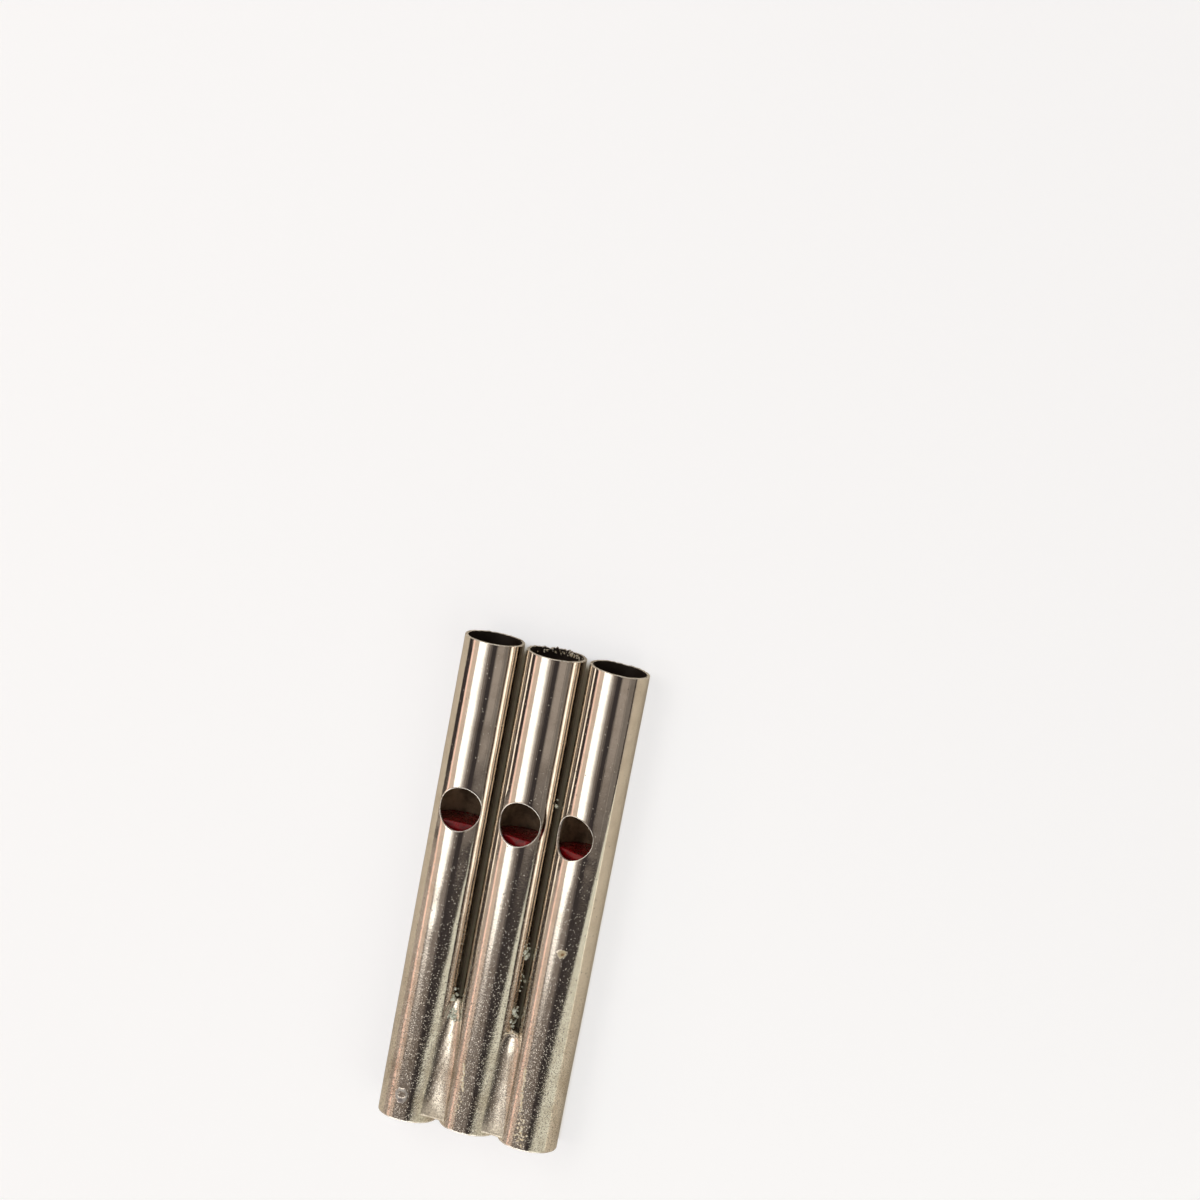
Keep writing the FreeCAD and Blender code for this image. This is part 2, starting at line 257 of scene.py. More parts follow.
def tube_wall(name, s):
    """The whole wall as one closed skin: the profile carried round the axis. Around the window a rectangle of
    cells is left out on both skins and filled by rays to the slot's outline, and the slot's own wall joins
    the skins. Returns points, faces and each face's kind."""
    spec = TUBES[name]
    outer, bore, edge, small = s["radius"], s["radius"] - s["wall"], s["edge"], INNER_EDGE
    rim, station = WINDOW_RIM * edge, s["window_station"]
    start, end = spec["start"], s["tube"] + spec["longer"]
    step = 2 * math.pi / s["around"]
    reach = round(math.radians(PATCH_ANGLE) / step)
    window = math.radians(spec["window"])
    angles = window + (np.arange(s["around"]) - reach) * step
    near, far = station - PATCH_LENGTH, station + PATCH_LENGTH
    parts = [(start + MOUTH_RIM * edge, start + END_ZONE, 6), (start + END_ZONE, near, 72), (near, far, 33),
             (far, end - END_ZONE, 40)]
    rows = np.concatenate([np.linspace(a, b, n)[:-1] for a, b, n in parts]
                          + [np.linspace(end - END_ZONE, end - edge, 6)])
    first, last = int(np.argmin(abs(rows - near))), int(np.argmin(abs(rows - far)))

    def place(angle, y, radius):
        """Points of the wall in the row, with its waves, rough rims and the slanted cut of the open end."""
        moved = y + smooth(y, end - ROUGH_OPEN, end) * rim_jag(name, angle, 1)
        moved = moved - smooth(-y, -start - ROUGH_MOUTH, -start) * rim_jag(name, angle, 0)
        slant = math.tan(math.radians(spec["slant"]))
        moved = moved - smooth(y, far, end) * outer * slant * (1 + np.sin(angle))
        r = radius + wall_wave(name, angle, y, s)
        return lean(name, r * np.sin(angle), moved, r * np.cos(angle)).reshape(-1, 3)

    radii, along = wall_profile(rows, start, end, s)
    grid_a, grid_y = np.meshgrid(angles, along)
    points = [place(grid_a, grid_y, radii[:, None] + 0 * grid_a)]
    index = np.arange(grid_a.size).reshape(grid_a.shape)
    cells = quads(index, close_rows=True)
    bore_from = len(rows) + RIM_ROWS
    mirror = bore_from + len(rows) - 1  # row mirror - i of the bore lies under row i of the outside
    keep = np.ones(cells.shape[:2], bool)
    keep[first:last, : 2 * reach] = False
    keep[mirror - last:mirror - first, : 2 * reach] = False
    part = np.full(cells.shape[:2], OUTSIDE)
    part[len(rows) - 1:] = CUT
    part[bore_from - 1:bore_from + len(rows)] = INSIDE
    faces, kinds = [cells[keep].reshape(-1, 4)], [part[keep]]
    total = grid_a.size

    columns = np.arange(2 * reach + 1)
    up = np.arange(first, last)
    border_row = np.concatenate([np.full(2 * reach, first), up, np.full(2 * reach, last), up[::-1] + 1])
    border_column = np.concatenate([columns[:-1], np.full(len(up), 2 * reach), columns[:0:-1],
                                    np.zeros(len(up), int)])
    rim_angle, rim_y = angles[border_column], rows[border_row]
    polar, outline = slot_outline(s)
    wanted = np.arctan2(rim_y - station, outer * (rim_angle - window))
    hole_x, hole_y, normal_x, normal_y = (np.interp(wanted, polar, values) for values in outline)

    def patch(ring, a, y, radius, kind):
        """Adds rows of points after a ring of numbers, with the faces between them; returns the last row."""
        nonlocal total
        points.append(place(a, y, radius))
        new = np.arange(total, total + a.size).reshape(a.shape)
        total += a.size
        between = quads(np.concatenate([ring[None], new])).reshape(-1, 4)
        faces.append(between)
        kinds.append(np.full(len(between), kind))
        return new[-1]

    share = (1 - np.linspace(0, 1, RAY_ROWS + 1)[1:] ** 0.8)[:, None]
    ends = []
    for radius, offset, ring, kind in (
            (outer, rim, index[border_row, border_column], OUTSIDE),
            (bore, small, index[mirror - border_row, border_column], INSIDE)):
        hole_angle = window + np.arcsin((hole_x + offset * normal_x) / radius)
        lengthwise = station + hole_y + offset * normal_y
        a = hole_angle + (rim_angle - hole_angle) * share
        y = lengthwise + (rim_y - lengthwise) * share
        ends.append(patch(ring, a, y, radius + 0 * a, kind))

    arc = OPENING[:-1, None]
    straight = slice(len(arc), len(arc) + WALL_ROWS)
    down = np.linspace(0, 1, WALL_ROWS)[:, None]
    offset = np.concatenate([rim * (1 - np.sin(arc)), 0 * down, small * (1 - np.sin(arc[::-1]))])
    x = hole_x + offset * normal_x
    top, bottom = np.sqrt(outer**2 - x**2), np.sqrt(bore**2 - x**2)
    height = np.concatenate([
        top[:straight.start] - rim * (1 - np.cos(arc)),
        top[straight] - rim + (bottom[straight] + small - top[straight] + rim) * down,
        bottom[straight.stop:] + small * (1 - np.cos(arc[::-1]))])
    y = station + hole_y + offset * normal_y
    ring = patch(ends[0], window + np.arctan2(x, height), y, np.hypot(x, height), CUT)
    cells = quads(np.stack([ring, ends[1]])).reshape(-1, 4)
    faces.append(cells)
    kinds.append(np.full(len(cells), CUT))
    return np.concatenate(points), np.concatenate(faces).tolist(), np.concatenate(kinds)


# Windway blocks. Lengths in mm.

BLOCK_START = 0.3  # from the mouth end
ARC_POINTS, FLAT_POINTS = 97, 24  # points of the outline
INNER_RINGS = np.array([0.02, 0.35, 0.7, 0.97])  # rings that close the ends, in shares of the outline
SHRINK_AT = -0.25  # height of the point towards which the outline shrinks
FACE_WAVE = 0.02  # waviness of the face in the window


def block_skin(name, s):
    """A round plug with one flat. Its outline (arc and flat) is carried along the tube and shrinks round its
    far edge by a quarter circle, and rings towards its middle close both ends."""
    spec = TUBES[name]
    bore = s["radius"] - s["wall"]
    flat = bore - s["windway"]
    corner = math.acos(flat / bore)
    arc = np.linspace(corner, 2 * math.pi - corner, ARC_POINTS)
    wide = bore * math.sin(corner)
    x = np.concatenate([bore * np.sin(arc), np.linspace(-wide, wide, FLAT_POINTS + 2)[1:-1]])
    z = np.concatenate([bore * np.cos(arc), np.full(FLAT_POINTS, flat)])
    end, lip, inner = s["block_end"], s["lip"], len(INNER_RINGS)
    body = np.linspace(BLOCK_START + 0.3, end - lip, 12)
    turned = np.linspace(0, math.pi / 2, 7)[1:]
    y = np.concatenate([np.full(inner + 1, BLOCK_START), body, end - lip + lip * np.sin(turned),
                        np.full(inner, end)])[:, None]
    cut = np.concatenate([np.zeros(inner + 1 + len(body)), lip * (1 - np.cos(turned)),
                          np.full(inner, lip)])[:, None]
    share = np.concatenate([INNER_RINGS, np.ones(1 + len(body) + len(turned)), INNER_RINGS[::-1]])[:, None]
    scale = share * (1 - cut / np.hypot(x, z - SHRINK_AT))
    px, pz = x * scale, SHRINK_AT + (z - SHRINK_AT) * scale
    wave = FACE_WAVE * ripple(px * 1.7, pz * 1.7, spec["seed"] + 5) * (share < 1) * (y > BLOCK_START)
    turn = math.radians(spec["block"])
    across, height = px * math.cos(turn) + pz * math.sin(turn), pz * math.cos(turn) - px * math.sin(turn)
    rings = lean(name, across, y + wave, height)
    return rings, ring_skin(rings)


# Solder. Lengths in mm, angles in degrees.

# Each run: the tubes it joins, the angle from the top at which it leaves them at the mouth end, what this
# angle gains along the run and, by a power, near its tip, how high it reaches, and the seed of its lumps.
RUNS = {
    "left": {"between": ("left", "middle"), "base": 40.0, "slope": 4.0, "tip": 26.0, "power": 8,
             "high": 12.8, "seed": 41},
    "right": {"between": ("middle", "right"), "base": 40.0, "slope": 2.0, "tip": 24.0, "power": 20,
              "high": 11.15, "seed": 57},
}
SOLDER_START, SOLDER_ROUND = 0.3, 0.35  # from the mouth end, and over what length that end is rounded
ROUND_ANGLE = 26  # how much further down the tubes the run starts at its rounded end
BACK_ANGLE = 14  # how much further down the tubes the arc behind lies
SHALLOW = 5  # how much flatter the hollow arc is than the tubes where it leaves them
SUNK = 0.03  # how far the run reaches into the tubes' walls
SKEW = 0.05  # rise of the valley's right side over its left


def groove_middle(name):
    """Where the middle of a run's groove lies across the row, in mm."""
    return sum(TUBES[n]["x"] for n in RUNS[name]["between"]) / 2


def solder_skin(name, s):
    """A run of solder in one groove. Each cross-section is a hollow arc in front, which leaves both tubes at
    the angle that the run has there, a smaller one behind, and straight sides sunk a little into the tubes.
    Small lumps are added, the hollow fills by up to 0.3 mm towards the mouth end and is skewed a little, and
    both ends draw in to a round edge."""
    run = RUNS[name]
    left, right = (TUBES[n] for n in run["between"])
    share = (1 - (1 - np.linspace(0, 1, 130)) ** 1.6)[:, None]
    y = SOLDER_START + (run["high"] - SOLDER_START) * share
    half = (right["x"] - left["x"] + y * math.tan(math.radians(right["splay"]))) / 2
    near_end = 1 - np.clip((y - SOLDER_START) / SOLDER_ROUND, 0, 1)
    angle = run["base"] + run["slope"] * share + run["tip"] * share ** run["power"]
    angle = angle + ROUND_ANGLE * (1 - np.sqrt(1 - near_end**2))

    def arc(lift, count):
        """A circle's arc from tube to tube, lift degrees further down, plus lumps, fill and skew that vanish
        at the tubes."""
        a = np.radians(np.minimum(angle + lift, 88))
        root = s["radius"] - SUNK
        across, height = half - root * np.sin(a), root * np.cos(a)
        bend = across / np.sin(a - math.radians(SHALLOW))
        t = np.linspace(-1, 1, count)
        x = across * t
        z = height + np.sqrt(bend**2 - across**2) - np.sqrt(bend**2 - x**2)
        lump = 0.016 * ripple(x * 1.6, y * 0.9, run["seed"]) + 0.006 * ripple(x * 5, y * 4, run["seed"] + 1)
        fill = 0.16 * np.clip(1 - y / 11, 0, 1) + 0.15 * np.clip(1 - y / 8, 0, 1) ** 2
        return x, z + (lump + fill + SKEW * t) * (1 - t**2)

    def closed(front, back):
        """One coordinate of the whole rings: front, right side, back and left side."""
        side = np.linspace(0, 1, 6)[1:-1]
        down = front[:, -1:] + (back[:, :1] - front[:, -1:]) * side
        up = back[:, -1:] + (front[:, :1] - back[:, -1:]) * side
        return np.concatenate([front, down, back, up], 1)

    front_x, front_z = arc(0, 49)
    back_x, back_z = arc(BACK_ANGLE, 25)
    x, z = closed(front_x, back_x[:, ::-1]), closed(front_z, -back_z[:, ::-1])
    wander = 0.07 * ripple(x * 3, 0 * x, run["seed"] + 2) * share**4
    rings = np.stack(np.broadcast_arrays(left["x"] + half + x, y + MOUTH + wander, z + s["radius"]), -1)
    return rings, ring_skin(rings)


# Residue and crumbs. Lengths in mm, angles in degrees.

GRAIN_ROWS, GRAIN_COLUMNS, GRAIN_WAVES = 6, 8, 4

# Clusters of flux residue: tube, number, from and to where along it, and the angle at which they begin.
RESIDUE = (("middle", 34, 11.2, 13.7, 62), ("middle", 8, 14.2, 17.6, 70), ("middle", 22, 18.7, 20.3, 62),
           ("middle", 4, 34.2, 35.3, 74), ("left", 14, 12.6, 13.9, 62))
TIP_GRAINS = 90

# Lines of crumbs: tube, number, from and to where along it, from and to what angle, and spread in angle.
CRUMB_LINES = (("middle", 90, 7.2, 4.4, -16, -8, 1.0), ("middle", 26, 4.4, 1.2, -16, -12, 3.5),
               ("right", 120, 8.4, 4.3, -17, -10, 1.2), ("right", 70, 4.3, 0.3, -9, 2, 6.5))
RIM_CRUMBS, TOP_CRUMBS = 44, 40


def grains(centres, size, seed, flat=1.0):
    """Crumbs as one array: spheres whose radius is varied by waves, stretched along X and Y, flattened along
    Z."""
    draw = np.random.default_rng(seed)
    count, each = len(centres), GRAIN_ROWS * GRAIN_COLUMNS
    lat, lon = np.meshgrid(np.linspace(0, math.pi, GRAIN_ROWS),
                           np.linspace(0, 2 * math.pi, GRAIN_COLUMNS, endpoint=False), indexing="ij")
    way = np.stack([np.sin(lat) * np.cos(lon), np.sin(lat) * np.sin(lon), np.cos(lat)], -1)
    wave = draw.normal(0, 2.2, (count, GRAIN_WAVES, 3))
    phase = draw.uniform(0, 6, (count, 1, 1, GRAIN_WAVES))
    swell = 1 + 0.2 * np.sin(np.einsum("nwk,rck->nrcw", wave, way) + phase).sum(-1)
    stretch = [draw.uniform(0.8, 1.3, count), draw.uniform(0.8, 1.5, count), np.full(count, flat)]
    offset = way * (swell * size[:, None, None])[..., None] * np.stack(stretch, -1)[:, None, None]
    points = centres[:, None, None] + offset
    one = quads(np.arange(each).reshape(GRAIN_ROWS, GRAIN_COLUMNS)).reshape(-1, 4)
    return points.reshape(-1, 3), (one + each * np.arange(count)[:, None, None]).reshape(-1, 4).tolist()


def on_tube(name, angle, y, lift=0.0):
    """Points on a tube's outside: angle in degrees from the top towards +X, y from the mouth end."""
    a, radius = np.radians(angle), tube_radius() + lift
    return lean(name, radius * np.sin(a), y, radius * np.cos(a))


def residue_grains():
    """Flux residue: clusters on the tubes above the solder, and grains on the left solder's tip, whose height
    is a parabola along the groove."""
    draw = np.random.default_rng(5)
    centres, size = [], []
    for name, count, low, high, begin in RESIDUE:
        here = 0.045 + 0.13 * draw.random(count) ** 2
        angle = begin + draw.uniform(0, 20, count)
        centres.append(on_tube(name, angle, draw.uniform(low, high, count), here * 0.3))
        size.append(here)
    here = 0.04 + 0.09 * draw.random(TIP_GRAINS) ** 2
    y = draw.uniform(10.8, 12.6, TIP_GRAINS)
    centres.append(np.stack([groove_middle("left") + draw.uniform(-0.5, 0.4, TIP_GRAINS), MOUTH + y,
                             4.78 - 0.165 * (y - 10) ** 2], -1))
    size.append(here)
    return grains(np.concatenate(centres), np.concatenate(size), 6)


def crumb_grains():
    """Bright crumbs of plating: wandering lines on the tubes near the mouth end, burrs on the middle tube's
    back rim, and the ragged top of the right solder, a parabola across the groove."""
    draw = np.random.default_rng(9)
    centres, size = [], []
    for name, count, top, foot, above, below, spread in CRUMB_LINES:
        share = draw.random(count)
        here = 0.035 + 0.08 * draw.random(count) ** 2
        wander = 0.9 * np.sin(7 * share) + 0.6 * np.sin(19 * share + 1) + draw.normal(0, spread, count)
        angle, y = above + (below - above) * share + wander, top + (foot - top) * share
        centres.append(on_tube(name, angle, y, here * 0.1))
        size.append(here)
    here = draw.uniform(0.05, 0.11, RIM_CRUMBS)
    angle = draw.normal(165, 28, RIM_CRUMBS)
    centres.append(on_tube("middle", angle, 49.1 + draw.uniform(-0.3, 0.1, RIM_CRUMBS), -0.28))
    size.append(here)
    share, here = draw.uniform(-1, 1, TOP_CRUMBS), draw.uniform(0.03, 0.085, TOP_CRUMBS)
    centres.append(np.stack([groove_middle("right") + 0.03 + share * 0.8, MOUTH + 11.12 - 0.25 * share**2,
                             4.35 + 0.55 * share**2], -1))
    size.append(here)
    return grains(np.concatenate(centres), np.concatenate(size), 10, 0.8)


# Materials

BUMP_DEPTH = 0.00006  # metres for a height of 1
OLD_DIRT, PIT_DARK, SPECK_PALE = (0.10, 0.07, 0.05, 1), (0.055, 0.045, 0.050, 1), (0.84, 0.78, 0.66, 1)
SAND_DARK, SAND_PALE = (0.30, 0.25, 0.18, 1), (0.72, 0.66, 0.53, 1)
# Bare metal of the cut edges, and the near-black painted shade deep in the bores.
BARE_METAL, BORE_PAINTED_SHADE = (0.93, 0.89, 0.82, 1), (0.035, 0.024, 0.018, 1)
CHALK, CRUMB, CRUMB_WARM = (0.80, 0.84, 0.80), (0.93, 0.89, 0.80), (0.88, 0.74, 0.50)
# Floor colours: the grey base that the camera sees beside the whistle under the painted glow, the warm
# painted light that glows in the gaps between the tubes, and the colour of the painted glow.
FLOOR_GREY, GAP_PAINTED_LIGHT, FLOOR_GLOW = (0.36, 0.36, 0.36, 1), (0.50, 0.43, 0.27, 1), (0.74, 0.74, 0.75, 1)
UNDER_WHISTLE = (0.0085, 0.0240)  # half the width and length that the whistle covers on the floor, in metres

# Dried drops: rim or filled spot, angle, place along the tube, radius, width of the edge and colour.
DROPS = {
    "left": (("Ring", -2, 2.3, 0.56, 0.22, (0.30, 0.30, 0.30)),
             ("Spot", -1, 1.7, 0.20, 0.20, (0.16, 0.14, 0.15))),
    "middle": (),
    "right": (("Spot", 10, 20.8, 0.34, 0.16, (0.54, 0.46, 0.29)),
              ("Spot", 12, 20.7, 0.12, 0.14, (0.22, 0.10, 0.03))),
}


class Nodes:
    """Small helper that adds and joins shader nodes."""

    def __init__(self, tree):
        self.tree = tree

    def put(self, socket, value):
        """Sets a socket, or joins another node's output to it."""
        if isinstance(value, bpy.types.NodeSocket):
            self.tree.links.new(value, socket)
        else:
            socket.default_value = value

    def add(self, kind, inputs=None, **settings):
        node = self.tree.nodes.new("ShaderNode" + kind)
        for key, value in settings.items():
            setattr(node, key, value)
        for key, value in (inputs or {}).items():
            self.put(node.inputs[key], value)
        return node

    def group(self, name, inputs):
        """Places a node group with its inputs set; returns its outputs."""
        return self.add("Group", inputs, node_tree=bpy.data.node_groups[name]).outputs

    def math(self, operation, a, b=0.0, clamp=False):
        return self.add("Math", {0: a, 1: b}, operation=operation, use_clamp=clamp).outputs[0]

    def times(self, a, b):
        return self.math("MULTIPLY", a, b)

    def plus(self, a, b, clamp=False):
        return self.math("ADD", a, b, clamp)

    def minus(self, a, b, clamp=False):
        return self.math("SUBTRACT", a, b, clamp)

    def ramp(self, value, low, high, to_low=0.0, to_high=1.0):
        """Goes smoothly from to_low at low to to_high at high, and stays there."""
        inputs = {"Value": value, "From Min": low, "From Max": high, "To Min": to_low, "To Max": to_high}
        return self.add("MapRange", inputs, interpolation_type="SMOOTHSTEP").outputs["Result"]

    def mix(self, share, a, b):
        """Mixes two colours."""
        node = self.add("Mix", data_type="RGBA")
        self.put(node.inputs[0], share)
        self.put(node.inputs[6], a)
        self.put(node.inputs[7], b)
        return node.outputs[2]

    def millimetres(self):
        """Object coordinates in millimetres."""
        place = self.add("TexCoord").outputs["Object"]
        return self.add("VectorMath", {0: place, "Scale": 1000.0}, operation="SCALE").outputs[0]

    def noise(self, place, scale, detail=4.0, roughness=0.6):
        inputs = {"Vector": place, "Scale": scale, "Detail": detail, "Roughness": roughness}
        return self.add("TexNoise", inputs).outputs["Fac"]

    def cells(self, place, scale):
        """A Voronoi pattern: the distance from each cell's middle, and the cell's three random numbers."""
        inputs = {"Vector": place, "Scale": scale, "Randomness": 1.0}
        outputs = self.add("TexVoronoi", inputs, feature="F1").outputs
        return outputs["Distance"], self.add("SeparateColor", {0: outputs["Color"]}).outputs


def start_group(name, inputs, outputs):
    """A shader node group with named inputs (a number, or a vector as a tuple) and outputs (numbers). Returns
    the helper for its nodes, what it is given and what it puts out."""
    tree = bpy.data.node_groups.new(name, "ShaderNodeTree")
    for label, value in inputs:
        kind = "NodeSocketVector" if isinstance(value, tuple) else "NodeSocketFloat"
        tree.interface.new_socket(name=label, in_out="INPUT", socket_type=kind).default_value = value
    for label in outputs:
        tree.interface.new_socket(name=label, in_out="OUTPUT", socket_type="NodeSocketFloat")
    return Nodes(tree), tree.nodes.new("NodeGroupInput").outputs, tree.nodes.new("NodeGroupOutput").inputs


def plating_group():
    """Wear of old plating. Mouth rises towards the mouth end. Pits and Specks are chosen cells of two Voronoi
    patterns, more of them towards the mouth. Film is cloudy tarnish. Height joins specks, pits and scratches
    along the tube with a grain that grows towards the mouth end."""
    inputs = [("Pitting", 0.5), ("Mouth from", -1.0), ("Mouth to", -19.0)]
    n, given, made = start_group("Worn plating", inputs, ["Pits", "Specks", "Film", "Mouth", "Height"])
    mm = n.millimetres()
    y = n.add("SeparateXYZ", {0: mm}).outputs["Y"]
    cloud = n.noise(mm, 0.45)
    fine = n.noise(mm, 4.6, 3.0, 0.65)
    reach = n.plus(y, n.times(n.minus(cloud, 0.5), 14.0))
    mouth = n.ramp(reach, given["Mouth to"], given["Mouth from"], 1.0, 0.0)
    half_way = n.ramp(reach, -14.0, 15.0, 1.0, 0.0)
    distance, chance = n.cells(mm, 3.6)
    lot = n.plus(n.times(n.times(mouth, given["Pitting"]), 0.6), n.plus(n.times(half_way, 0.08), 0.012))
    pits = n.times(n.ramp(distance, 0.10, 0.34, 1.0, 0.0), n.math("LESS_THAN", chance[0], lot))
    distance, chance = n.cells(mm, 7.6)
    lot = n.plus(n.plus(n.times(mouth, 0.28), n.times(half_way, 0.18)), 0.03)
    specks = n.times(n.ramp(distance, 0.12, 0.38, 1.0, 0.0), n.math("LESS_THAN", chance[1], lot))
    film = n.ramp(n.plus(cloud, n.times(fine, 0.25)), 0.52, 0.86)
    film = n.times(film, n.plus(n.times(mouth, 0.6), 0.4))
    stretched = n.add("VectorMath", {0: mm, 1: (7.0, 0.18, 7.0)}, operation="MULTIPLY").outputs[0]
    scratches = n.ramp(n.noise(stretched, 1.0, 3.0, 0.7), 0.60, 0.72)
    grain = n.plus(n.plus(n.times(mouth, 0.06), n.times(half_way, 0.04)), 0.025)
    height = n.times(fine, grain)
    for mark, rise in ((specks, 0.16), (pits, -0.12), (scratches, -0.02)):
        height = n.plus(height, n.times(mark, rise))
    for label, value in (("Pits", pits), ("Specks", specks), ("Film", film), ("Mouth", mouth),
                         ("Height", height)):
        n.put(made[label], value)


def solder_film_group():
    """Thin solder film on the flank of a tube left of a groove, given by the groove's middle across the row
    and the place of the solder's top along it, in mm. Film is wide near the mouth end and runs out to a point
    at the top, with a ragged edge. Low rises close to the mouth end, where the solder itself is dull."""
    n, given, made = start_group("Solder film", [("Groove", 0.0), ("Top", 0.0)], ["Film", "Low"])
    mm = n.millimetres()
    place = n.add("SeparateXYZ", {0: mm}).outputs
    ragged = n.times(n.minus(n.noise(mm, 2.6, 4.0, 0.7), 0.5), 1.2)
    below = n.math("MAXIMUM", n.minus(given["Top"], place["Y"]), 0.0)
    width = n.times(n.math("POWER", below, 0.34), 0.86)
    inwards = n.plus(n.minus(place["X"], given["Groove"]), n.plus(width, ragged))
    film = n.times(n.ramp(inwards, 0.0, 0.5), n.math("LESS_THAN", place["X"], n.plus(given["Groove"], 0.3)))
    n.put(made["Film"], n.times(film, n.math("GREATER_THAN", below, 0.0)))
    n.put(made["Low"], n.ramp(n.plus(place["Y"], n.times(ragged, 2.0)), -24.5, -21.5, 1.0, 0.10))


def drop_group():
    """A dried drop round a point given in millimetres: Ring is its rim, Spot its filled area. The radius is
    varied by noise."""
    inputs = [("Centre", (0.0, 0.0, 0.0)), ("Radius", 0.5), ("Width", 0.15)]
    n, given, made = start_group("Dried drop", inputs, ["Ring", "Spot"])
    mm = n.millimetres()
    far = n.add("VectorMath", {0: mm, 1: given["Centre"]}, operation="DISTANCE").outputs["Value"]
    far = n.plus(far, n.times(n.minus(n.noise(mm, 2.2, 3.0), 0.5), 0.6))
    off = n.math("ABSOLUTE", n.minus(far, given["Radius"]))
    n.put(made["Ring"], n.minus(1.0, n.math("DIVIDE", off, given["Width"]), True))
    inside = n.minus(n.plus(given["Radius"], given["Width"]), far)
    inside = n.math("DIVIDE", inside, given["Width"])
    n.put(made["Spot"], n.math("MINIMUM", n.math("MAXIMUM", inside, 0.0), 1.0))


def new_material(name):
    """A material, the helper for its nodes and its shader."""
    material = bpy.data.materials.new(name)
    material.use_nodes = True
    shader = next(node for node in material.node_tree.nodes if node.type == "BSDF_PRINCIPLED")
    return material, Nodes(material.node_tree), shader


def finish_shader(n, shader, tint, roughness, height, metal=0.0):
    """Joins the colour, roughness and height that vary over a surface to its shader, and sets or joins how
    metallic it is."""
    bump = n.add("Bump", {"Height": height, "Strength": 1.0, "Distance": BUMP_DEPTH})
    for socket, value in (("Base Color", tint), ("Roughness", roughness), ("Normal", bump.outputs[0]),
                          ("Metallic", metal)):
        n.put(shader.inputs[socket], value)


def plated(name, metal_colour, film_colour, pitting, rough, mouth_rough, drops=(), groove=None):
    """Bright nickel plate with old dirt, tarnish film, pits and specks, solder film beside a groove (its
    middle, the solder's top and which mask) and dried drops."""
    material, n, shader = new_material(name)
    worn = n.group("Worn plating", {"Pitting": pitting})
    tint = n.mix(n.times(worn["Film"], 0.5), (*metal_colour, 1), (*film_colour, 1))
    sand = n.ramp(n.noise(n.millimetres(), 8.0, 2.0, 0.7), 0.50, 0.62)
    tint = n.mix(n.times(sand, n.plus(n.times(worn["Mouth"], 0.50), 0.05)), tint, OLD_DIRT)
    tint = n.mix(n.times(worn["Pits"], 0.75), tint, PIT_DARK)
    tint = n.mix(n.times(worn["Specks"], 0.7), tint, SPECK_PALE)
    roughness = n.plus(n.times(worn["Mouth"], mouth_rough - rough), rough)
    roughness = n.plus(roughness, n.times(worn["Film"], 0.08))
    roughness = n.plus(roughness, n.times(worn["Pits"], 0.2), True)
    metal = n.minus(1.0, n.times(worn["Specks"], 0.65), True)
    height = worn["Height"]
    if groove:
        middle, top, mask = groove
        dull = n.group("Solder film", {"Groove": middle, "Top": top})[mask]
        speckle = n.noise(n.millimetres(), 5.0, 3.0, 0.75)
        sandy = n.mix(n.ramp(speckle, 0.40, 0.60), SAND_DARK, SAND_PALE)
        tint = n.mix(n.times(dull, 0.7), tint, sandy)
        roughness = n.plus(roughness, n.times(dull, 0.18), True)
        metal = n.minus(metal, n.times(dull, 0.40), True)
        height = n.plus(height, n.times(dull, n.times(speckle, 0.35)))
    for kind, centre, radius, width, shade in drops:
        mask = n.group("Dried drop", {"Centre": centre, "Radius": radius, "Width": width})[kind]
        tint = n.mix(n.times(mask, 0.85), tint, (*shade, 1))
        roughness = n.plus(roughness, n.times(mask, 0.3), True)
        metal = n.minus(metal, n.times(mask, 0.7), True)
        height = n.plus(height, n.times(mask, 0.5))
    finish_shader(n, shader, tint, roughness, height, metal)
    return material


def cut_edge():
    """Sawn and drilled edges: bare bright metal with fine tool marks, less smooth than the plate."""
    material, n, shader = new_material("Cut edge")
    mm = n.millimetres()
    fine, cloud = n.noise(mm, 7.0, 3.0, 0.7), n.noise(mm, 1.4)
    tint = n.mix(n.ramp(cloud, 0.45, 0.75), BARE_METAL, (*bpy.context.scene.whistle_finish.brown, 1))
    finish_shader(n, shader, tint, n.ramp(fine, 0.3, 0.7, 0.14, 0.32), n.times(fine, 0.15), 0.6)
    return material


def dull_bore():
    """Inside of the tubes: unpolished brown metal, cloudy and rough, with painted shade that turns it near
    black towards the open ends.
    """
    material, n, shader = new_material("Dull bore")
    mm = n.millimetres()
    cloud, fine = n.noise(mm, 0.8), n.noise(mm, 6.0)
    bore = tuple(bpy.context.scene.whistle_finish.bore)
    darker = (bore[0] * 0.45, bore[1] * 0.42, bore[2] * 0.4, 1)
    tint = n.mix(n.ramp(cloud, 0.35, 0.7), (*bore, 1), darker)
    open_end = n.ramp(n.add("SeparateXYZ", {0: mm}).outputs["Y"], 13.0, 19.0)
    # Painted shade: the bore turns near black towards the open end.
    tint = n.mix(open_end, tint, BORE_PAINTED_SHADE)
    rough = n.ramp(n.plus(cloud, n.times(fine, 0.3)), 0.4, 0.9, 0.36, 0.6)
    finish_shader(n, shader, tint, rough, n.times(fine, 0.3), 0.45)
    return material


def glossy_red():
    """Deep red block: lacquered, darker and duller in cloudy patches."""
    material, n, shader = new_material("Red block")
    mm = n.millimetres()
    cloud, fine = n.noise(mm, 1.6), n.noise(mm, 9.0, 3.0, 0.7)
    red = tuple(bpy.context.scene.whistle_finish.red)
    darker = (red[0] * 0.35, red[1] * 0.5, red[2] * 0.6, 1)
    tint = n.mix(n.ramp(cloud, 0.40, 0.72), (*red, 1), darker)
    rough = n.ramp(n.plus(cloud, n.times(fine, 0.3)), 0.45, 0.9, 0.16, 0.42)
    finish_shader(n, shader, tint, rough, n.times(fine, 0.07))
    return material


